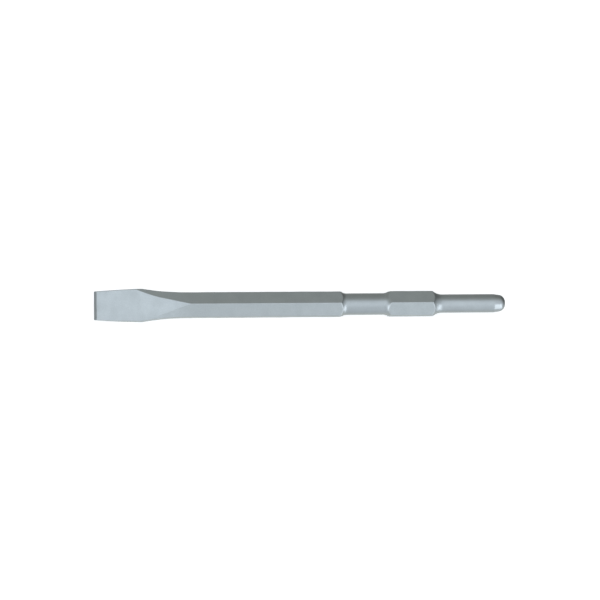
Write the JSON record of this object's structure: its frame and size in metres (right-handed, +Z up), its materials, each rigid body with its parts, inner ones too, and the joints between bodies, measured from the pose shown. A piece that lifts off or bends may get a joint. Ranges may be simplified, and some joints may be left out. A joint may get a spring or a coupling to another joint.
{
  "type": "flat chisel bit",
  "caption": "Flat chisel bit with a flared wedge blade, hexagonal shank, round retainer neck and round striking tail, for breaking masonry with an electric demolition hammer.",
  "frame": {"origin": "on the bit's axis, halfway along its length, which is the centre of its bounding box", "axes": "+X along the axis towards the striking end, with the cutting edge at -X; +Z up, normal to the flat of the bar that faces up as the bit lies on the opposite flat; +Y completes the right-handed frame. The blade's upper face leans 30 degrees from +Z towards -Y"},
  "size_m": [0.2866, 0.0236, 0.019],
  "materials": {
    "blasted_steel": "forged, machined and bead-blasted to an even satin grey"
  },
  "bodies": {
    "root": {"flat_chisel": "blasted_steel"}
  },
  "joints": []
}
